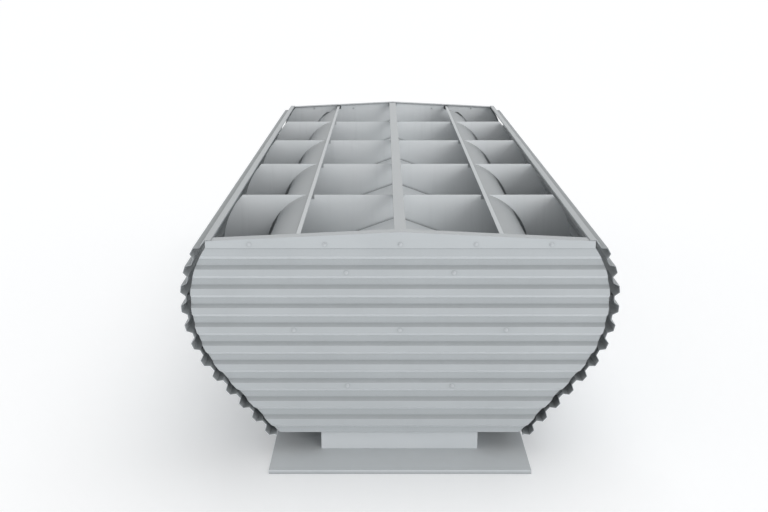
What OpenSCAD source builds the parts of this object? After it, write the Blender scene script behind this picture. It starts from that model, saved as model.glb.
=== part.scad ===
// Fixed open-topped roof ventilator.
// Two ribbed wind bands stand round a row of bulkheads, and curved inner shells
// and a folded rain cap keep the rain out of the throat below them.
// X runs across the ventilator, Y along it, and Z up from the underside of the base lip.

/* [Overall] */
// Length over the two end trims
body_l = 3900; // [3400:10:4200]
// Spacing of the four inner bulkheads
bay_l = 760; // [640:10:860]
// Height of the side rims above the base flange
rim_h = 866; // [840:2:900]
// Height of the end walls' lower edges above the base flange
foot_h = 81; // [60:1:120]
// Rise of the end gables from the rims to the ridge
gable_rise = 31; // [25:1:45]

/* [Base] */
// Outside width of the throat
throat_w = 620; // [580:2:640]
// Height of the throat walls above the base flange
throat_h = 476; // [440:2:480]
// Distance from an end trim's face back to the end of the throat
throat_setback = 40; // [36:1:60]
// Width of the base flange
flange_w = 190; // [150:2:240]
// Depth of the lip turned down round the base flange
lip_h = 16; // [10:1:30]
// Gauge of the base
base_t = 3; // [2:0.5:5]

/* [Wind bands] */
// Distance from the centre plane to the top edge of a wind band
band_top_x = 731; // [720:1:745]
// Radius of a wind band above its widest line
band_top_r = 370; // [350:2:420]
// Slope of a wind band from the vertical at its top edge
band_top_lean = 38.8; // [33:0.2:40]
// Radius of a wind band below its widest line
band_low_r = 483; // [460:2:520]
// Slope of a wind band from the vertical at its foot
band_low_lean = 41; // [39:0.5:44]
// Number of ribs down a wind band
band_ribs = 12; // [10:1:12]
// Depth of the wind bands' feet below the end walls' lower edges
band_below = 5; // [0:1:12]
// Distance from the top edge to the middle of the first rib
band_first = 63; // [58:1:70]
// Depth of the wind bands' ribs
band_depth = 20; // [14:1:24]

/* [End walls] */
// Spacing of the ribs on the end walls
wall_pitch = 76; // [72:1:80]
// Depth below the rims of the lower edge of the end walls' first crest
wall_first = 64; // [56:1:72]
// Depth of the end walls' ribs
wall_depth = 14; // [10:1:20]
// Gap from a wind band to the end wall's edge at the rim
wall_gap_top = 19; // [14:1:24]
// Gap from a wind band to the end wall's edge at the foot
wall_gap_foot = 13; // [6:1:18]

/* [Ribbed sheet] */
// Gauge of the ribbed sheets, shells and rain cap
sheet_t = 1.5; // [1:0.25:2]
// Width of a rib's flat crest
crest_w = 25; // [22:1:28]
// Width of a rib's sloping web, measured along the sheet
web_w = 13; // [10:1:14]

/* [Bulkheads] */
// Gauge of the bulkhead plates
plate_t = 3; // [2:0.5:5]
// Gap from a wind band to the edges of the bulkheads
plate_gap = 30; // [26:1:36]
// Gap between a shell and the inner wing plates round it
slot_gap = 12; // [8:1:16]
// Gap between a shell's line and the end wing plates round it
end_slot_gap = 4; // [3:1:12]

/* [Inner shells] */
// Outside radius of an inner shell
shell_r = 254; // [240:1:262]
// Distance from the centre plane to a shell's axis
shell_x = 326; // [322:1:334]
// Angle at which a shell ends, measured from its top
shell_end = 176; // [168:1:178]
// Distance from an end bulkhead to the end of a shell
shell_setback = 100; // [60:5:140]
// Depth of the drip edge along the foot of a shell
shell_lip = 8; // [5:1:10]

/* [Rain cap] */
// Depth of the rain cap's ridge below the rims
cap_drop = 100; // [90:1:120]
// Slope of the rain cap's sides
cap_slope = 20; // [15:0.5:22]
// Half the width of the rain cap
cap_half = 336; // [325:1:345]
// Depth of the drip edges along the rain cap
cap_lip = 15; // [10:1:20]

/* [Bars and trims] */
// Width of the ridge bar
ridge_w = 45; // [36:1:60]
// Distance from the centre plane to the inner edge of an inner bar
bar_x = 380; // [372:1:384]
// Width of an inner bar's top flange
bar_w = 16; // [14:1:20]
// Depth of an inner bar's down-turned flange
bar_h = 20; // [12:1:24]
// Gauge of the bars, rim caps and trims
bar_t = 2; // [1.5:0.5:3]
// Depth of an end trim's face at the rims
trim_h = 30; // [24:1:36]
// Depth of an end trim's top flange, measured along the ventilator
trim_flange = 50; // [40:1:60]
// Width of a rim cap's top inside the wind band's top edge
rim_cap_w = 22; // [18:1:30]
// Depth of a rim cap's inner leg
rim_cap_leg = 8; // [6:1:20]
// Length of a rim cap's outer leg down the wind band
rim_cap_skirt = 24; // [16:1:28]

/* [Brackets] */
// Gauge of the brackets
bracket_t = 2; // [1.5:0.5:3]
// Leg of a throat angle against the throat
angle_leg = 40; // [30:1:50]
// Leg of a throat angle against the plates
angle_face = 28; // [24:1:29]
// Width of a wind band's cleat
cleat_w = 22; // [16:1:24]
// Length of a cleat's leg along the ventilator
cleat_l = 35; // [25:1:50]
// Reach of a cleat's leg over a plate
cleat_reach = 30; // [20:1:40]

/* [Screws] */
// Radius of a screw's shank
screw_r = 2.75; // [2:0.25:3]
// Radius of a screw's sealing washer
washer_r = 8; // [6:0.5:9]
// Spacing of the screws along an end trim
trim_screw_pitch = 283; // [220:1:300]
// Spacing of the screws along an end wall
wall_screw_pitch = 406; // [300:2:420]

/* [Hidden] */
$fn = 120;
// Clearance between curved faces, and between pieces that pass each other
seat_gap = 0.3;
pass_gap = 1;

// Heights above the underside of the base lip
flange_z = lip_h;
throat_z = flange_z + throat_h;
rim_z = flange_z + rim_h;
foot_z = flange_z + foot_h;

// End wall: its wide top crest runs up behind the trim, and full ribs follow it down
wall_top_drop = 4;
wall_top_z = rim_z - wall_top_drop;
wall_first_z = rim_z - wall_first;
wall_ribs = floor((wall_first_z - foot_z - web_w) / wall_pitch);

// Lengths along the ventilator
end_y = body_l / 2;
crest_y = end_y - bar_t;
pan_y = crest_y - wall_depth;
plate_out_y = pan_y - sheet_t;
plate_in_y = plate_out_y - plate_t;
throat_l = body_l - 2 * throat_setback;
shell_l = 2 * (plate_in_y - shell_setback);

// Bulkheads from front to rear, and the side of each that carries its brackets
end_plate_y = plate_out_y - plate_t / 2;
bulkhead_ys = [-end_plate_y, -1.5 * bay_l, -0.5 * bay_l, 0.5 * bay_l, 1.5 * bay_l, end_plate_y];
bulkheads = len(bulkhead_ys);
function is_end(i) = i == 0 || i == bulkheads - 1;
function bracket_side(i) = i == bulkheads - 1 ? -1 : 1;

// Rim caps and end trims keep their places beside the wind bands' top edges
trim_gap = 1;
rim_cap_x = band_top_x - rim_cap_w;
trim_half = band_top_x - trim_gap;

// Shell, bar and slot places. An end plate's discs stop short of the shells' line
shell_z = rim_z - shell_r;
shell_in_r = shell_r - sheet_t;
shell_hem_x = bar_x + bar_w;
end_disc_gap = 18;
function disc_r(end_plate) = end_plate ? shell_r - end_disc_gap : shell_in_r - seat_gap;
function slot_r(end_plate) = shell_r + (end_plate ? end_slot_gap : slot_gap);
notch_clear = 8;
notch_x = bar_x - notch_clear;
notch_w = shell_hem_x + sheet_t + pass_gap - notch_x;
brow_h = 43;
brow_x = shell_x + sqrt(slot_r(true) ^ 2 - (shell_r - brow_h) ^ 2);

// Gable height over the rim at a distance from the centre plane
gable_eave = -bar_t - pass_gap;
function gable_z(x) = rim_z + gable_rise + (gable_eave - gable_rise) * abs(x) / rim_cap_x;
ridge_z = gable_z(ridge_w / 2) - bar_t - seat_gap;

// Throat brackets
angle_top_gap = 5;
end_angle_drop = 30;
end_angle_h = 40;

// Shell cleats, by their angle from the shell's top, and rain cap cleats
shell_cleat_angles = [40, 90, 140];
shell_cleat_half = 4;
shell_cleat_reach = 32;
cap_cleat_xs = [110, 250];
cap_cleat_w = 30;

// Pans of the wind bands that carry cleats
band_cleat_pans = [2, 5, 8, 10];

// Screws: every hole clears its shank, and the head stands on a washer
screw_hole_r = screw_r + seat_gap;
washer_t = 1.5;
head_r = 4.6;
head_h = 4;
head_sides = 6;
screw_tip = 6;
wall_crest_z = wall_first_z + crest_w / 2;
trim_screw_spots = [for (i = [-2 : 2]) [i * trim_screw_pitch, rim_z - bar_t - trim_h / 2]];
wall_screw_spots = concat(
    [for (k = [1, 7]) for (i = [-1, 1]) [i * wall_screw_pitch / 2, wall_crest_z - k * wall_pitch]],
    [for (i = [-1 : 1]) [i * wall_screw_pitch, wall_crest_z - 4 * wall_pitch]]
);
end_screw_spots = concat(trim_screw_spots, wall_screw_spots);

SIDES = ["left", "right"];
ENDS = ["front", "rear"];
function side_of(name) = name == "left" ? -1 : 1;
function end_of(name) = name == "front" ? -1 : 1;

// Folded sheet: a path is walked along the outer face and the metal lies to its right
function unit(v) = v / norm(v);
function left_of(a, b) = let (d = unit(b - a)) [-d[1], d[0]];
function corner_offset(path, i) =
    let (last = len(path) - 1)
    let (before = i > 0 ? left_of(path[i - 1], path[i]) : left_of(path[0], path[1]))
    let (after = i < last ? left_of(path[i], path[i + 1]) : before)
    (before + after) / (1 + before * after);
function shifted(path, dist) = [for (i = [0 : len(path) - 1]) path[i] + dist * corner_offset(path, i)];
function reversed(path) = [for (i = [len(path) - 1 : -1 : 0]) path[i]];
function folded(path, gauge) = concat(path, reversed(shifted(path, -gauge)));
function mirrored(path) = [for (p = path) [-p[0], p[1]]];

// Wind band line: two arcs that meet at the widest place, then a straight foot
function arc_length(r, a) = r * a * PI / 180;
function arc_angle(r, l) = l / r * 180 / PI;
band_wide_l = arc_length(band_top_r, band_top_lean);
band_arcs_l = band_wide_l + arc_length(band_low_r, band_low_lean);
band_arcs_h = band_top_r * sin(band_top_lean) + band_low_r * sin(band_low_lean);
band_h = rim_z - foot_z + band_below;
band_l = band_arcs_l + (band_h - band_arcs_h) / cos(band_low_lean);
outline_steps = 36;
function band_lean(l) =
    l < band_wide_l
    ? arc_angle(band_top_r, band_wide_l - l)
    : -min(band_low_lean, arc_angle(band_low_r, l - band_wide_l));
function band_point(l, out = 0) =
    let (lean = band_lean(l), upper = max(lean, 0), lower = max(-lean, 0))
    let (straight = max(l - band_arcs_l, 0))
    let (x = band_top_x + band_top_r * (cos(upper) - cos(band_top_lean)) - band_low_r * (1 - cos(lower)))
    let (drop = band_top_r * (sin(band_top_lean) - sin(upper)) + band_low_r * sin(lower))
    [
        x - straight * sin(band_low_lean) + out * cos(lean),
        rim_z - drop - straight * cos(band_low_lean) + out * sin(lean)
    ];

// Ribbed path of a wind band, from its top edge down, its ribs spread to end near its foot
band_edge = 5;
band_last = band_l - band_edge - web_w - crest_w / 2;
band_pitch = (band_last - band_first) / (band_ribs - 1);
band_start = bar_t / cos(band_top_lean);
function rib_middle(k) = band_first + k * band_pitch;
band_path = concat(
    [band_point(band_start)],
    [
        for (k = [0 : band_ribs - 1])
            for (p = [
                [-crest_w / 2 - web_w, 0],
                [-crest_w / 2, band_depth],
                [crest_w / 2, band_depth],
                [crest_w / 2 + web_w, 0]
            ])
                band_point(rib_middle(k) + p[0], p[1])
    ],
    [band_point(band_l)]
);

// Line inside the wind band, from above the rim to below the foot
outline_over = 70;
function inset_line(gap_top, gap_foot) = [
    for (i = [0 : outline_steps])
        let (l = -outline_over + i * (band_l + 2 * outline_over) / outline_steps)
        let (share = min(max(l / band_l, 0), 1))
        band_point(l, -gap_top - (gap_foot - gap_top) * share)
];

// Plan shapes are drawn in X and Z and stretched along Y
module along_y(length) {
    rotate([90, 0, 0])
        linear_extrude(height = length, center = true)
            children();
}

module on_side(side) {
    if (side > 0) children();
    else mirror([1, 0, 0]) children();
}

module on_end(end) {
    if (end > 0) children();
    else mirror([0, 1, 0]) children();
}

// Everything between two heights, wide enough for the whole ventilator
module level_band(low, high) {
    span = 2 * band_top_x + 4 * band_depth + band_top_r;
    translate([-span / 2, low]) square([span, high - low]);
}

// Area under an end gable, down to the walls' foot, less a gauge along its top
module gable_area(gauge) {
    polygon([
        [-2 * trim_half, foot_z],
        [-2 * trim_half, gable_z(2 * trim_half) - gauge],
        [0, gable_z(0) - gauge],
        [2 * trim_half, gable_z(2 * trim_half) - gauge],
        [2 * trim_half, foot_z]
    ]);
}

// Base: a throat wall, a flange and a down-turned lip, folded from one strip
module base_member(set_out, run) {
    path = [
        [set_out, throat_z],
        [set_out, flange_z],
        [set_out + flange_w, flange_z],
        [set_out + flange_w, 0]
    ];
    intersection() {
        along_y(run + 2 * flange_w) polygon(folded(path, base_t));
        linear_extrude(height = throat_z)
            polygon([
                [set_out - base_t, base_t - run / 2],
                [set_out + flange_w, -run / 2 - flange_w],
                [set_out + flange_w, run / 2 + flange_w],
                [set_out - base_t, run / 2 - base_t]
            ]);
    }
}

module base_side(side) {
    color("#aeb3b6") on_side(side) base_member(throat_w / 2, throat_l);
}

module base_end(end) {
    color("#aeb3b6") on_end(end) rotate([0, 0, 90]) base_member(throat_l / 2, throat_w);
}

// Hexagon head, sealing washer and shank, with the head outward along Z
module screw(grip) {
    translate([0, 0, washer_t]) cylinder(r = head_r, h = head_h, $fn = head_sides);
    cylinder(r = washer_r, h = washer_t);
    translate([0, 0, -grip]) cylinder(r = screw_r, h = grip);
}

module screw_holes(spots) {
    for (p = spots) translate(p) circle(r = screw_hole_r);
}

// Slot in a bulkhead for the rain cap, which rests on the slot's lower edge
module cap_slot() {
    reach = cap_half + pass_gap;
    inner = cap_half - sheet_t - pass_gap;
    slope = tan(cap_slope);
    low = rim_z - cap_drop - sheet_t / cos(cap_slope);
    high = rim_z - cap_drop + pass_gap / cos(cap_slope);
    foot = low - reach * slope - cap_lip - pass_gap;
    for (side = [-1, 1])
        polygon([
            [0, low],
            [0, high],
            [side * reach, high - reach * slope],
            [side * reach, foot],
            [side * inner, foot],
            [side * inner, low - inner * slope]
        ]);
}

// Notch whose foot carries an inner bar, closed over the bar in the end plates
module bar_notch(end_plate) {
    top = end_plate ? bar_t + pass_gap : gable_rise;
    translate([notch_x, rim_z - bar_h]) square([notch_w, bar_h + top]);
}

module centre_plate_shape(end_plate) {
    throat_clear = throat_w / 2 + pass_gap;
    difference() {
        union() {
            for (side = [-1, 1]) translate([side * shell_x, shell_z]) circle(r = disc_r(end_plate));
            translate([-notch_x, throat_z]) square([2 * notch_x, rim_z - throat_z]);
            if (end_plate) {
                translate([-throat_clear, foot_z]) square([2 * throat_clear, rim_z - foot_z]);
                intersection() {
                    translate([-brow_x, rim_z - brow_h]) square([2 * brow_x, brow_h + gable_rise]);
                    gable_area(bar_t);
                }
            }
        }
        bar_notch(end_plate);
        mirror([1, 0, 0]) bar_notch(end_plate);
        if (end_plate) screw_holes(end_screw_spots);
        if (!end_plate) {
            translate([-throat_clear, 0]) square([2 * throat_clear, throat_z]);
            cap_slot();
        }
    }
}

module centre_plate(i) {
    color("#bcc1c4")
        translate([0, bulkhead_ys[i], 0])
            along_y(plate_t) centre_plate_shape(is_end(i));
}

module wing_plate_shape(end_plate) {
    throat_clear = throat_w / 2 + pass_gap;
    line = inset_line(plate_gap, plate_gap);
    hole_r = slot_r(end_plate);
    difference() {
        intersection() {
            polygon(concat([[0, line[0][1]]], line, [[0, line[outline_steps][1]]]));
            if (end_plate) gable_area(bar_t);
            else level_band(foot_z, rim_z);
        }
        translate([shell_x, shell_z]) circle(r = hole_r);
        translate([-shell_x, shell_z - hole_r]) square([2 * shell_x, hole_r + shell_r + gable_rise]);
        translate([-throat_clear, 0]) square([2 * throat_clear, rim_z]);
        translate([rim_cap_x - pass_gap, rim_z - rim_cap_leg - pass_gap])
            square([band_top_x, rim_cap_leg + 2 * pass_gap]);
        if (end_plate) {
            translate([0, rim_z - brow_h - seat_gap])
                square([brow_x + seat_gap, brow_h + gable_rise + seat_gap]);
            screw_holes(end_screw_spots);
        }
    }
}

module wing_plate(i, side) {
    color("#b9bec1")
        translate([0, bulkhead_ys[i], 0])
            on_side(side) along_y(plate_t) wing_plate_shape(is_end(i));
}

// Places its children on the face of a bulkhead that carries brackets
module on_plate_face(i) {
    translate([0, bulkhead_ys[i] + bracket_side(i) * plate_t / 2, 0])
        on_end(bracket_side(i)) children();
}

// Upright angles join the centre and wing plates to the sides of the throat
module throat_angles(side) {
    height = throat_h - foot_h - angle_top_gap;
    color("#a5aaad")
        on_side(side)
            for (i = [0 : bulkheads - 1])
                on_plate_face(i)
                    translate([throat_w / 2, 0, foot_z]) {
                        cube([bracket_t, angle_leg, height]);
                        cube([angle_face, bracket_t, height]);
                    }
}

// Angle that ties the end of the throat to an end bulkhead
module end_angle(end) {
    reach = plate_in_y - throat_l / 2;
    width = throat_w - 2 * angle_leg;
    color("#a5aaad")
        on_end(end)
            translate([-width / 2, throat_l / 2, throat_z - end_angle_drop - end_angle_h]) {
                cube([width, bracket_t, end_angle_h]);
                cube([width, reach, bracket_t]);
            }
}

// Curved shell with a hem against its bar and a drip edge along its foot
module shell_section() {
    start = asin((shell_hem_x - shell_x) / shell_r);
    foot_x = shell_x + shell_r * sin(shell_end);
    foot_edge_z = shell_z + shell_r * cos(shell_end);
    hem_z = shell_z + shell_in_r * cos(start);
    reach = 2 * shell_r;
    intersection() {
        translate([shell_x, shell_z])
            difference() {
                circle(r = shell_r);
                circle(r = shell_in_r);
            }
        polygon([
            [shell_hem_x, shell_z],
            [shell_hem_x, shell_z + reach],
            [shell_x + reach, shell_z + reach],
            [shell_x + reach, shell_z - reach],
            [foot_x, shell_z - reach],
            [foot_x, shell_z]
        ]);
    }
    translate([shell_hem_x, rim_z - bar_h]) square([sheet_t, hem_z - rim_z + bar_h]);
    translate([foot_x - sheet_t, foot_edge_z - shell_lip]) square([sheet_t, shell_lip + sheet_t]);
}

module inner_shell(side) {
    color("#b3b8bb") on_side(side) along_y(shell_l) shell_section();
}

// Piece of a ring between two angles measured from the top
module ring_piece(r_in, r_out, middle, half) {
    steps = [-half, 0, half];
    polygon(concat(
        [for (a = steps) r_out * [sin(middle + a), cos(middle + a)]],
        [for (a = reversed(steps)) r_in * [sin(middle + a), cos(middle + a)]]
    ));
}

module shell_cleats(side) {
    rim_r = disc_r(false);
    seat_r = rim_r * cos(shell_cleat_half / 2);
    color("#a5aaad")
        on_side(side)
            for (i = [1 : bulkheads - 2])
                for (a = shell_cleat_angles)
                    on_plate_face(i)
                        translate([shell_x, 0, shell_z]) {
                            translate([0, cleat_l / 2, 0])
                                along_y(cleat_l)
                                    ring_piece(seat_r - bracket_t, rim_r, a, shell_cleat_half);
                            translate([0, bracket_t / 2, 0])
                                along_y(bracket_t)
                                    ring_piece(seat_r - shell_cleat_reach, rim_r, a, shell_cleat_half);
                        }
}

// Angle bar whose outer, down-turned flange sits in the bulkheads' notches
module inner_bar(side) {
    path = [[bar_x, rim_z + bar_t], [bar_x + bar_w, rim_z + bar_t], [bar_x + bar_w, rim_z - bar_h]];
    color("#b6bbbe")
        on_side(side) along_y(2 * plate_out_y) polygon(folded(path, bar_t));
}

module ridge_bar() {
    half = ridge_w / 2;
    path = [[-half, rim_z], [-half, ridge_z], [half, ridge_z], [half, rim_z]];
    color("#b6bbbe") along_y(2 * plate_in_y) polygon(folded(path, bar_t));
}

// Inverted V that sheds the rain past the throat walls
module rain_cap() {
    eave_z = rim_z - cap_drop - cap_half * tan(cap_slope);
    path = [
        [-cap_half, eave_z - cap_lip],
        [-cap_half, eave_z],
        [0, rim_z - cap_drop],
        [cap_half, eave_z],
        [cap_half, eave_z - cap_lip]
    ];
    color("#a9aeb1") along_y(2 * plate_in_y) polygon(folded(path, sheet_t));
}

module cap_cleat() {
    translate([0, 0, -bracket_t]) cube([cap_cleat_w, cleat_l, bracket_t]);
    translate([0, 0, -cap_cleat_w]) cube([cap_cleat_w, bracket_t, cap_cleat_w]);
}

module cap_cleats() {
    under_z = rim_z - cap_drop - sheet_t / cos(cap_slope);
    color("#a5aaad")
        for (i = [0 : bulkheads - 1])
            for (side = [-1, 1])
                for (x = cap_cleat_xs)
                    on_plate_face(i)
                        on_side(side)
                            translate([x, 0, under_z - x * tan(cap_slope)])
                                rotate([0, cap_slope, 0]) cap_cleat();
}

// Places its children on the inside of the pan after a rib, with +X pointing inward
module at_pan(k) {
    middle = rib_middle(k) + band_pitch / 2;
    half = (band_pitch - crest_w) / 2 - web_w;
    a = band_point(middle - half);
    b = band_point(middle + half);
    inside = (a + b) / 2 - sheet_t * left_of(a, b);
    lean = atan2(b[0] - a[0], a[1] - b[1]);
    translate([inside[0], 0, inside[1]]) rotate([0, 180 - lean, 0]) children();
}

// Places its children at each wind band cleat, in the middle of its leg along the band
module at_band_screws() {
    for (i = [0 : bulkheads - 1])
        for (k = band_cleat_pans)
            on_plate_face(i)
                at_pan(k)
                    translate([0, (bracket_t + cleat_l) / 2, 0]) children();
}

module band_screw_holes() {
    at_band_screws() rotate([0, 90, 0]) cylinder(r = screw_hole_r, h = 4 * bracket_t, center = true);
}

module wind_band(side) {
    color("#c3c8cb")
        on_side(side)
            difference() {
                along_y(body_l) polygon(folded(band_path, sheet_t));
                band_screw_holes();
            }
}

module band_cleats(side) {
    color("#a5aaad")
        on_side(side)
            difference() {
                for (i = [0 : bulkheads - 1])
                    for (k = band_cleat_pans)
                        on_plate_face(i)
                            at_pan(k)
                                translate([0, 0, -cleat_w / 2]) {
                                    cube([bracket_t, cleat_l, cleat_w]);
                                    cube([plate_gap + cleat_reach, bracket_t, cleat_w]);
                                }
                band_screw_holes();
            }
}

module band_screws(side) {
    color("#9aa0a4")
        on_side(side)
            at_band_screws()
                translate([-sheet_t, 0, 0])
                    rotate([0, -90, 0]) screw(sheet_t + bracket_t + screw_tip);
}

// Cap over a wind band's top edge, cut back inside to clear the end trims
module rim_cap(side) {
    top = band_point(band_start);
    pan_end = band_point(band_first - crest_w / 2 - web_w);
    down = unit(pan_end - top);
    leg_x = rim_cap_x + bar_t;
    path = [top + down * rim_cap_skirt, top, [leg_x, rim_z - bar_t], [leg_x, rim_z - rim_cap_leg]];
    cut_l = trim_flange + 2 * pass_gap;
    cut_low = rim_z - rim_cap_leg - pass_gap;
    color("#b4b9bc")
        on_side(side)
            difference() {
                along_y(body_l) polygon(folded(path, bar_t));
                for (end = [-1, 1])
                    on_end(end)
                        translate([rim_cap_x - pass_gap, end_y - trim_flange - pass_gap, cut_low])
                            cube([bar_t + 2 * pass_gap, cut_l, rim_z - bar_t - cut_low]);
            }
}

// Ribbed end wall, its ribs running across, cut to a line inside the wind bands
wall_path = concat(
    [[crest_y, wall_top_z], [crest_y, wall_first_z], [pan_y, wall_first_z - web_w]],
    [
        for (k = [1 : wall_ribs])
            for (p = [[pan_y, crest_w + web_w], [crest_y, crest_w], [crest_y, 0], [pan_y, -web_w]])
                [p[0], wall_first_z - k * wall_pitch + p[1]]
    ],
    [[pan_y, foot_z]]
);

module end_wall(end) {
    line = inset_line(wall_gap_top, wall_gap_foot);
    width = 2 * (band_top_x + band_top_r);
    color("#c0c5c8")
        on_end(end)
            intersection() {
                rotate([90, 0, 90])
                    linear_extrude(height = width, center = true)
                        polygon(folded(wall_path, sheet_t));
                translate([0, pan_y, 0])
                    along_y(4 * wall_depth)
                        difference() {
                            polygon(concat(line, reversed(mirrored(line))));
                            screw_holes(end_screw_spots);
                        }
            }
}

// Gabled trim: a face over the end wall's top and a flange back over the bulkhead
module end_trim(end) {
    top = [[-trim_half, gable_z(trim_half)], [0, gable_z(0)], [trim_half, gable_z(trim_half)]];
    low = rim_z - trim_h - bar_t;
    color("#bdc2c5")
        on_end(end) {
            translate([0, end_y - bar_t / 2, 0])
                along_y(bar_t)
                    difference() {
                        polygon(concat(top, [[trim_half, low], [-trim_half, low]]));
                        screw_holes(trim_screw_spots);
                    }
            translate([0, end_y - trim_flange / 2, 0])
                along_y(trim_flange) polygon(folded(top, bar_t));
        }
}

// Screws through an end's sheets into its bulkhead, standing on the face at one depth
module end_screws(end, spots, face_y) {
    grip = face_y - plate_in_y + screw_tip;
    color("#9aa0a4")
        on_end(end)
            for (p = spots)
                translate([p[0], face_y, p[1]]) rotate([-90, 0, 0]) screw(grip);
}

for (s = SIDES) {
    base_side(side_of(s));
    throat_angles(side_of(s));
    inner_shell(side_of(s));
    shell_cleats(side_of(s));
    inner_bar(side_of(s));
    wind_band(side_of(s));
    band_cleats(side_of(s));
    rim_cap(side_of(s));
    band_screws(side_of(s));
}
for (e = ENDS) {
    base_end(end_of(e));
    end_angle(end_of(e));
    end_wall(end_of(e));
    end_trim(end_of(e));
    end_screws(end_of(e), wall_screw_spots, crest_y);
    end_screws(end_of(e), trim_screw_spots, end_y);
}
for (i = [1 : bulkheads]) {
    centre_plate(i - 1);
    for (s = SIDES)
        wing_plate(i - 1, side_of(s));
}
rain_cap();
cap_cleats();
ridge_bar();
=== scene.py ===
# %% [markdown]
# A roof ventilator stands over a slot in a roof and lets warm air out. This one is a long trough
# of coated aluminium sheet, open at the top: ribbed wind bands keep the wind off its sides,
# and the bars, shells and rain cap inside keep the rain out of its throat.
# Its CAD model comes in as a frame, with every piece at its real size and place, in metres.
# This script gives each piece its finish, sets up a floor, lamps and a camera, and moves nothing.

# %% Load the frame
import math

import bmesh
import bpy
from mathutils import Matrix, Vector


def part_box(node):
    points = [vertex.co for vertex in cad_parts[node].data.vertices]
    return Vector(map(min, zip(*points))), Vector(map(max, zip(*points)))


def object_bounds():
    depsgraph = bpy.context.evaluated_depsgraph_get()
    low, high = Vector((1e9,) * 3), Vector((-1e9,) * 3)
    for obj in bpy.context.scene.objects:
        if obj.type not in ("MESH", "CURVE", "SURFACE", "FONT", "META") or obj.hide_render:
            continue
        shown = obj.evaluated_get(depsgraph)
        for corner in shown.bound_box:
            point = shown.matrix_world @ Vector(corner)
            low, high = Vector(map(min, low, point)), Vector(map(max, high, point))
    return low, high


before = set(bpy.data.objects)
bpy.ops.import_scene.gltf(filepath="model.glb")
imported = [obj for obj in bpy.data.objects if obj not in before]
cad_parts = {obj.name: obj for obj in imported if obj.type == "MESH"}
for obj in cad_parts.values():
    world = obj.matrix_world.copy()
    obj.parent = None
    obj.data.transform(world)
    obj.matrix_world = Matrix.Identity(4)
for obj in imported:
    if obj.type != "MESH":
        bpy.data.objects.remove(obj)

MM = 0.001
CAD_BOX = [list(corner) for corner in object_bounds()]
print("CAD box in metres:", CAD_BOX)

# %% [markdown]
# The camera comes first, so that every later picture can be laid beside the photograph. The
# photograph is a one-point perspective: all lines along the ventilator meet in one point, and
# lines across it stay level. So the camera looks straight along it, and only tilts down.
# Two lines of known length, one near and one far, give the lens: 50 mm on a 36 mm sensor.
# Its place is in metres from the front trim, from the rim and from the middle.

# %% Camera
LENS_MM = 50
SENSOR_MM = 36
TILT_DOWN = math.radians(15.334)
BACK_FROM_FRONT = 3.853
ABOVE_RIM = 0.995
OFF_CENTRE = -0.061
SEES_AS_FAR_AS = 500

front_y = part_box("end_trim_front")[0].y
rim_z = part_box("rim_cap_left")[1].z
camera_data = bpy.data.cameras.new("camera")
camera_data.lens = LENS_MM
camera_data.sensor_width = SENSOR_MM
camera_data.clip_end = SEES_AS_FAR_AS
camera = bpy.data.objects.new("camera", camera_data)
camera.location = (OFF_CENTRE, front_y - BACK_FROM_FRONT, rim_z + ABOVE_RIM)
camera.rotation_euler = (math.pi / 2 - TILT_DOWN, 0, 0)
bpy.context.scene.collection.objects.link(camera)
bpy.context.scene.camera = camera
bpy.context.scene.view_settings.view_transform = "Standard"
print("camera at", tuple(round(v, 3) for v in camera.location))

# %% [markdown]
# Materials are small graphs of nodes. One function adds a node, so that each finish below reads
# as a list of what it is made of. A second one turns a colour as a screen shows it, written in
# hex, into the linear light that Blender calculates with.

# %% Helpers for materials
def add(tree, kind, joins=None, **settings):
    """A node with its settings, and each input set to a value or joined to a socket."""
    node = tree.nodes.new(kind)
    for name, value in settings.items():
        setattr(node, name, value)
    for name, value in (joins or {}).items():
        if isinstance(value, bpy.types.NodeSocket):
            tree.links.new(value, node.inputs[name])
        else:
            node.inputs[name].default_value = value
    return node


def to_linear(hex_colour):
    """RGBA in linear light from an sRGB colour such as #c0c5c8, by the sRGB standard's curve."""
    shares = [int(hex_colour[i:i + 2], 16) / 255 for i in (1, 3, 5)]
    linear = [s / 12.92 if s <= 0.04045 else ((s + 0.055) / 1.055) ** 2.4 for s in shares]
    return (*linear, 1.0)


def combined(tree, operation, first, second):
    """Two values made one, such as their product (MULTIPLY) or the larger (MAXIMUM)."""
    return add(tree, "ShaderNodeMath", {0: first, 1: second}, operation=operation).outputs[0]


def empty_material(name):
    """A material with nothing in it but its output node."""
    material = bpy.data.materials.new(name)
    material.use_nodes = True
    material.node_tree.nodes.clear()
    output = add(material.node_tree, "ShaderNodeOutputMaterial")
    return material, material.node_tree, output


WHITE = to_linear("#ffffff")
print("white in linear light:", WHITE)

# %% [markdown]
# The photograph's ground is a white studio floor that runs up out of the picture, with a soft
# grey shadow round the ventilator. A floor under plain light renders grey, not white. Turning
# the lamps up would bleach the metal, so the floor gives off a little light of its own, and only
# to the camera and to reflections: the metal is lit as before.

# %% What is seen directly
def seen_directly(tree):
    """1 for rays from the camera and for mirror and glass rays, else 0."""
    path = add(tree, "ShaderNodeLightPath").outputs
    either = combined(tree, "MAXIMUM", path["Is Camera Ray"], path["Is Glossy Ray"])
    return combined(tree, "MAXIMUM", either, path["Is Transmission Ray"])


print("seen by the camera, in mirrors and through glass: 1, by all other rays: 0")

# %% Studio floor
FLOOR_HALF = 150.0
FLOOR_COLOUR = "#f2f3f4"
FLOOR_GLOW = 0.165

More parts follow.
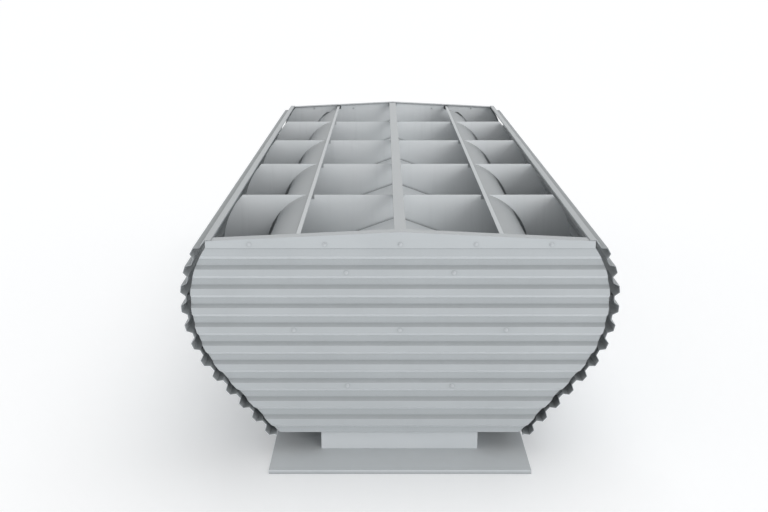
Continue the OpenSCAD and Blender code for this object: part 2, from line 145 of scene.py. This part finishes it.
floor_z = CAD_BOX[0][2]
floor_material, floor_tree, floor_output = empty_material("painted studio floor")
glow = combined(floor_tree, "MULTIPLY", seen_directly(floor_tree), FLOOR_GLOW)
paint = add(floor_tree, "ShaderNodeBsdfDiffuse", {"Color": to_linear(FLOOR_COLOUR)})
light = add(floor_tree, "ShaderNodeEmission", {"Color": WHITE, "Strength": glow})
both = add(floor_tree, "ShaderNodeAddShader", {0: paint.outputs[0], 1: light.outputs[0]})
floor_tree.links.new(both.outputs[0], floor_output.inputs["Surface"])

floor_mesh = bpy.data.meshes.new("floor")
shape = bmesh.new()
bmesh.ops.create_grid(shape, x_segments=1, y_segments=1, size=FLOOR_HALF)
bmesh.ops.translate(shape, verts=shape.verts, vec=(0, 0, floor_z))
shape.to_mesh(floor_mesh)
shape.free()
floor = bpy.data.objects.new("floor", floor_mesh)
floor_mesh.materials.append(floor_material)
bpy.context.scene.collection.objects.link(floor)
print("floor at z =", floor_z)

# %% [markdown]
# Most of the light comes from a white sky, from all round. The camera and reflections see that
# sky as plain white, whatever strength it lights the metal with.

# %% Sky
SKY_STRENGTH = 0.64

world = bpy.data.worlds.new("studio")
world.use_nodes = True
sky_tree = world.node_tree
sky_tree.nodes.clear()
lift = combined(sky_tree, "MULTIPLY", seen_directly(sky_tree), 1 - SKY_STRENGTH)
level = combined(sky_tree, "ADD", lift, SKY_STRENGTH)
sky = add(sky_tree, "ShaderNodeBackground", {"Color": WHITE, "Strength": level})
add(sky_tree, "ShaderNodeOutputWorld", {"Surface": sky.outputs[0]})
bpy.context.scene.world = world
print("sky strength:", SKY_STRENGTH)

# %% [markdown]
# Three soft lamps add shape. A wide one low in front, a little to the right, fills the ribs,
# reaches down between the bulkheads and leaves their right-hand corners darker. A weaker one,
# level with the rear end, keeps that end readable and hardly touches what shows in front. The
# third, high behind, draws the shadow on the floor.
# In a studio, flags keep the low lamps off the floor so that they don't wash that shadow out,
# and the high lamp off the metal. Here light linking does the same. Each lamp has a collection
# with the floor in it: EXCLUDE lights all but the floor, and INCLUDE lights nothing else.
# Sun lamps suit so long an object, because their light is equally strong at both ends, and a
# wide angle makes their shadows as soft as a big softbox.

# %% Lamps
# name: (strength, width in degrees, where it comes from, what happens to the floor)
LAMPS = {
    "front right": (0.92, 30, (0.6, -1, 0.3), "EXCLUDE"),
    "low behind": (0.32, 20, (0, 1, 0.08), "EXCLUDE"),
    "high back": (1.1, 60, (0.42, 0.9, 1.6), "INCLUDE"),
}

for lamp_name, (strength, wide_degrees, comes_from, floor_state) in LAMPS.items():
    lamp_data = bpy.data.lights.new(lamp_name, "SUN")
    lamp_data.energy = strength
    lamp_data.angle = math.radians(wide_degrees)
    lamp = bpy.data.objects.new(lamp_name, lamp_data)
    lamp.rotation_euler = Vector(comes_from).to_track_quat("Z", "Y").to_euler()
    bpy.context.scene.collection.objects.link(lamp)
    reached = bpy.data.collections.new("reached by the " + lamp_name + " lamp")
    reached.objects.link(floor)
    reached.collection_objects[0].light_linking.link_state = floor_state
    lamp.light_linking.receiver_collection = reached
print("lamps:", ", ".join(LAMPS))

# %% [markdown]
# Nearly all of the ventilator is aluminium sheet, 1.5 to 3 mm thick, with a matt light grey coat
# that was baked on before the sheet was rolled and folded. Such a coat is very even. It is a
# little cloudy, large panels are never quite flat, and the skin is slightly pebbled. Outdoors,
# dust settles on what looks up, and the rain draws it down in faint streaks. What looks up is
# also painted darker, as shade, and what looks down is painted lighter, as light from below.
# Painted shade darkens the folds, the plates low between the bulkheads and the lip of the base.
# All of that comes from noise, heights and folds in real sizes on the object's own coordinates,
# so it stays in its place from every side. These are the patterns it is made from.

# %% Patterns
EDGE_SAMPLES = 4


def noise(tree, place, size_mm, run_mm=None, run="Z", detail=2.0):
    """Noise from 0 to 1 with features of one size, drawn out to another along one axis."""
    scale = [1 / (size_mm * MM)] * 3
    scale["XYZ".index(run)] = 1 / ((run_mm or size_mm) * MM)
    mapping = add(tree, "ShaderNodeMapping", {"Vector": place, "Scale": scale})
    settings = {"Vector": mapping.outputs[0], "Scale": 1.0, "Detail": detail}
    return add(tree, "ShaderNodeTexNoise", settings).outputs["Fac"]


def between(tree, value, span, start=0.0, end=1.0):
    """The value stretched from one span to another, and held inside it."""
    low, high = span
    settings = {"Value": value, "From Min": low, "From Max": high, "To Min": start, "To Max": end}
    return add(tree, "ShaderNodeMapRange", settings).outputs[0]


def mixed(tree, share, first, second):
    """A colour between two others. Inputs 6 and 7 and output 2 are the node's colour ones."""
    mix = add(tree, "ShaderNodeMix", {0: share, 6: first, 7: second}, data_type="RGBA")
    return mix.outputs[2]


def bumped(tree, height, depth_mm, normal):
    """A normal that follows a height of the given depth."""
    settings = {"Height": height, "Distance": depth_mm * MM, "Normal": normal}
    return add(tree, "ShaderNodeBump", settings).outputs[0]


def rounded(tree, radius_mm):
    """A normal that turns softly round each edge, as a fold does."""
    return add(tree, "ShaderNodeBevel", {"Radius": radius_mm * MM}, samples=EDGE_SAMPLES).outputs[0]


print("a pattern 1 mm in size has a scale of", round(1 / MM))

# %% [markdown]
# Two layers lie over the coat. The first is dust on what looks up, a little patchy, which also
# paints shade on those tops, and the streaks that rain draws from it. The second is painted
# shade: in closed corners, deep between the bulkheads, and on the lowest few millimetres.
# "Up" is the height of the surface's normal: 1 on a level top, 0 on a wall, -1 underneath.

# %% Dust and painted shade
DUST_MM = 60
DUST_NOISE = (0.3, 0.7)
DUST_PATCHES = 0.75
STREAK_MM = 26
STREAK_RUN_MM = 520
STREAK_NOISE = (0.55, 0.75)
STREAK_STRENGTH = 0.07
UP_FOR_DUST_AND_TOP_SHADE = (0.1, 0.9)
UP_FOR_PAINTED_SHADE = (-0.6, -0.1)
OPEN_AROUND = (0.55, 1.0)
DEEP_MM = 380
FOOT_SHADE_MM = 15
PAINTED_SHADE = "#84898b"


def dust_and_top_shade_lying(tree, place, up):
    """How much dust lies on the surface, 0 to 1; the same share paints shade on what looks up."""
    patches = between(tree, noise(tree, place, DUST_MM, detail=5.0), DUST_NOISE, DUST_PATCHES, 1.0)
    # What looks up is painted darker: dust, and painted shade on the tops.
    return combined(tree, "MULTIPLY", between(tree, up, UP_FOR_DUST_AND_TOP_SHADE), patches)


def rain_streaks(tree, place):
    """How much dust the rain has left in upright streaks."""
    streaks = noise(tree, place, STREAK_MM, STREAK_RUN_MM)
    return between(tree, streaks, STREAK_NOISE, 0.0, STREAK_STRENGTH)


def painted_shade_share(tree, place, up, in_folds, fold_mm, deep, foot_shade):
    """How much painted shade lies on the surface, 0 to 1: in folds, deep down and near the floor.
    """
    # Ambient occlusion paints shade into the folds and closed corners.
    occlusion = add(
        tree, "ShaderNodeAmbientOcclusion", {"Distance": fold_mm * MM}, samples=EDGE_SAMPLES
    )
    cornered = between(tree, occlusion.outputs["AO"], OPEN_AROUND, in_folds, 0.0)
    height = add(tree, "ShaderNodeSeparateXYZ", {0: place}).outputs["Z"]
    # Painted shade, darker the deeper below the rim.
    low = between(tree, height, (rim_z - DEEP_MM * MM, rim_z), deep, 0.0)
    # Painted shade on the lowest millimetres, next to the floor.
    near_floor = between(tree, height, (0.0, FOOT_SHADE_MM * MM), foot_shade, 0.0)
    most = combined(tree, "MAXIMUM", combined(tree, "MAXIMUM", cornered, low), near_floor)
    return combined(tree, "MULTIPLY", most, between(tree, up, UP_FOR_PAINTED_SHADE))


print("streaks", STREAK_RUN_MM, "mm long, painted shade down to", DEEP_MM, "mm below the rim")

# %% [markdown]
# The coat itself comes under those layers: two close greys in soft clouds, painted lighter
# underneath as light from below.
# Three heights bend the light on it. Folds are rounded by the shader, because the CAD sheets have
# sharp edges. Slow waves stand for panels that are never flat. The real skin has a pebble about
# every millimetre, too fine to show from here, so it is drawn at 3.5 mm, where it just breaks up
# the shine.

# %% Coated sheet
CLOUD_MM = 240
CLOUD_NOISE = (0.35, 0.65)
UP_FOR_LIGHT_FROM_BELOW = (-0.2, -0.7)
LIGHT_FROM_BELOW = "#dde1e4"
DUST_AND_TOP_SHADE = "#a8acae"
FOLD_RADIUS_MM = 1.6
WAVE_MM = 380
WAVE_DEPTH_MM = 1.2
PEBBLE_MM = 3.5
PEBBLE_DEPTH_MM = 0.02
DUST_ROUGHENS = 0.2
NARROW_FOLD_MM = 14


def coated_sheet(
    name, colour, cloud, roughness,
    in_folds=0.0, fold_mm=NARROW_FOLD_MM, deep=0.0, dust_and_top_shade=DUST_AND_TOP_SHADE, foot_shade=0.0,
):
    """Aluminium sheet with a matt baked coat, dusty and painted darker on top, painted lighter
    underneath, and with painted shade in its folds, deep down and at its foot.
    """
    material, tree, output = empty_material(name)
    place = add(tree, "ShaderNodeTexCoord").outputs["Object"]
    normal = add(tree, "ShaderNodeNewGeometry").outputs["Normal"]
    up = add(tree, "ShaderNodeSeparateXYZ", {0: normal}).outputs["Z"]

    clouds = between(tree, noise(tree, place, CLOUD_MM, detail=4.0), CLOUD_NOISE)
    coat = mixed(tree, clouds, to_linear(colour), to_linear(cloud))
    # What looks down is painted lighter, as light from below.
    lit_from_below = mixed(tree, between(tree, up, UP_FOR_LIGHT_FROM_BELOW), coat, to_linear(LIGHT_FROM_BELOW))
    lying = dust_and_top_shade_lying(tree, place, up)
    dust_and_top_shade_share = combined(tree, "MAXIMUM", lying, rain_streaks(tree, place))
    dusty_and_top_shaded = mixed(tree, dust_and_top_shade_share, lit_from_below, to_linear(dust_and_top_shade))
    shade_share = painted_shade_share(tree, place, up, in_folds, fold_mm, deep, foot_shade)

    folds = rounded(tree, FOLD_RADIUS_MM)
    waves = bumped(tree, noise(tree, place, WAVE_MM, detail=0.0), WAVE_DEPTH_MM, folds)
    skin = bumped(tree, noise(tree, place, PEBBLE_MM, detail=1.0), PEBBLE_DEPTH_MM, waves)
    surface = add(
        tree, "ShaderNodeBsdfPrincipled",
        {
            "Base Color": mixed(tree, shade_share, dusty_and_top_shaded, to_linear(PAINTED_SHADE)),
            "Metallic": 0.0,
            "Roughness": between(tree, lying, (0.0, 1.0), roughness, roughness + DUST_ROUGHENS),
            "Normal": skin,
        },
    )
    tree.links.new(surface.outputs[0], output.inputs["Surface"])
    return material


print("coat pebbled every", PEBBLE_MM, "mm")

# %% [markdown]
# The coat comes from the same tin everywhere, and each kind of piece gets its own tone as painted
# light and shade: plates and inner sheets are painted pale, the bent shells darker. Rolled ribs
# get painted shade over a whole valley, so their fold distance is large. Cut plates are painted
# pale at the top and darker downwards. Strips and caps are painted pale, the lip darker.

# %% Coated finishes
# Even, satin, with painted shade in the valleys
RIBBED = coated_sheet(
    "roll-formed ribbed sheet, matt light grey coat", "#bbc0c3", "#b7bcbf",
    roughness=0.5, in_folds=0.75, fold_mm=45,
)
# Painted pale at the top edge and painted darker towards the foot, with a thin line of painted
# shade where pieces meet
FLAT = coated_sheet(
    "cut plate, matt light grey coat", "#eef1f3", "#e9edef",
    roughness=0.52, in_folds=0.8, deep=0.82,
)
# One long soft sheen along the bend, on a tone painted darker as shade
BENT = coated_sheet(
    "roll-bent sheet, matt light grey coat", "#b3b8bb", "#aeb3b6",
    roughness=0.5, in_folds=0.8, deep=0.12, dust_and_top_shade="#b4b8ba",
)
# Crisp narrow faces of one tone each, with a little painted shade where they meet
FOLDED = coated_sheet(
    "press-folded trim, matt light grey coat", "#c2c7ca", "#bec3c6",
    roughness=0.48, in_folds=0.5, dust_and_top_shade="#c2c6c8",
)
# Pale and dull, with painted shade on the lip next to the floor
STRIP = coated_sheet(
    "press-folded base strip, matt light grey coat", "#d3d7da", "#ced3d6",
    roughness=0.55, dust_and_top_shade="#c9cdcf", foot_shade=0.7,
)
# Slopes painted pale, with thin seams of painted shade
INNER = coated_sheet(
    "press-folded inner sheet, matt light grey coat", "#e0e4e7", "#dbdfe2",
    roughness=0.55, in_folds=0.8, dust_and_top_shade="#d6dadc",
)
COATED = (RIBBED, FLAT, BENT, FOLDED, STRIP, INNER)
print("coated finishes:", ", ".join(material.name for material in COATED))

# %% [markdown]
# The brackets are hidden under the sheets, so nobody paid for a coat on them: they are bare
# aluminium, with the fine lines of the rolling mill along them. The screws are stainless steel,
# because they have to outlast the coat, and their heads are dulled by the tool that drove them.
# The brackets in the narrow gap behind the wind bands are painted dark grey, as the shade in that
# gap. Mill lines are far finer than 1.5 mm: here they are as coarse as a picture from close by
# needs.

# %% Bare metal
LINE_MM = 1.5
LINE_RUN_MM = 120
LINE_DEPTH_MM = 0.03
SCUFF_MM = 9
SCUFF_NOISE = (0.45, 0.7)
SCUFF_ROUGHENS = 0.15
EDGE_RADIUS_MM = 0.4


def bare_metal(name, colour, stain, run, metallic, roughness):
    """Bare metal with drawn lines along one axis and small dull scuffs."""
    material, tree, output = empty_material(name)
    place = add(tree, "ShaderNodeTexCoord").outputs["Object"]
    lines = noise(tree, place, LINE_MM, LINE_RUN_MM, run, detail=3.0)
    scuffs = between(tree, noise(tree, place, SCUFF_MM, detail=4.0), SCUFF_NOISE)
    edges = rounded(tree, EDGE_RADIUS_MM)
    surface = add(
        tree, "ShaderNodeBsdfPrincipled",
        {
            "Base Color": mixed(tree, scuffs, to_linear(colour), to_linear(stain)),
            "Metallic": metallic,
            "Roughness": between(tree, scuffs, (0.0, 1.0), roughness, roughness + SCUFF_ROUGHENS),
            "Normal": bumped(tree, lines, LINE_DEPTH_MM, edges),
        },
    )
    tree.links.new(surface.outputs[0], output.inputs["Surface"])
    return material


print("mill lines every", LINE_MM, "mm")

# %% Bare finishes
# Dull silver, with lines along the angle
LEVEL_BRACKET = bare_metal(
    "bare aluminium angle, level", "#b9bdbf", "#a9adaf", run="X", metallic=0.85, roughness=0.42
)
UPRIGHT_BRACKET = bare_metal(
    "bare aluminium angle, upright", "#b9bdbf", "#a9adaf", run="Z", metallic=0.85, roughness=0.42
)
# Painted dark grey as shade, and nearly without shine
SHADED_GAP_BRACKET = bare_metal(
    "bare aluminium angle, painted dark as shade in the gap", "#5f6365", "#54585a",
    run="X", metallic=0.3, roughness=0.6,
)
# Grey specks that hardly stand out from the coat
SCREW = bare_metal(
    "stainless steel screw, dull", "#c6cacd", "#bdc1c4", run="Z", metallic=0.25, roughness=0.45
)
BARE = (LEVEL_BRACKET, UPRIGHT_BRACKET, SHADED_GAP_BRACKET, SCREW)
print("bare finishes:", ", ".join(material.name for material in BARE))

# %% [markdown]
# Each kind of piece gets its finish by the start of its name, so that the left and right ones,
# and all twelve wing plates, need one line.

# %% A finish for each kind of piece
FINISHES = {
    "wind_band": RIBBED,
    "end_wall": RIBBED,
    "centre_plate": FLAT,
    "wing_plate": FLAT,
    "inner_shell": BENT,
    "rain_cap": INNER,
    "rim_cap": FOLDED,
    "ridge_bar": FOLDED,
    "inner_bar": INNER,
    "end_trim": FOLDED,
    "base_side": STRIP,
    "base_end": STRIP,
    "throat_angles": UPRIGHT_BRACKET,
    "end_angle": LEVEL_BRACKET,
    "shell_cleats": LEVEL_BRACKET,
    "band_cleats": SHADED_GAP_BRACKET,
    "cap_cleats": LEVEL_BRACKET,
    "band_screws": SCREW,
    "wall_screws": SCREW,
    "trim_screws": SCREW,
}

for node_name, node_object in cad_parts.items():
    kind = next(k for k in FINISHES if node_name.startswith(k))
    for material_slot in node_object.material_slots:
        material_slot.material = FINISHES[kind]
print(len(FINISHES), "kinds of piece,", len(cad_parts), "nodes")
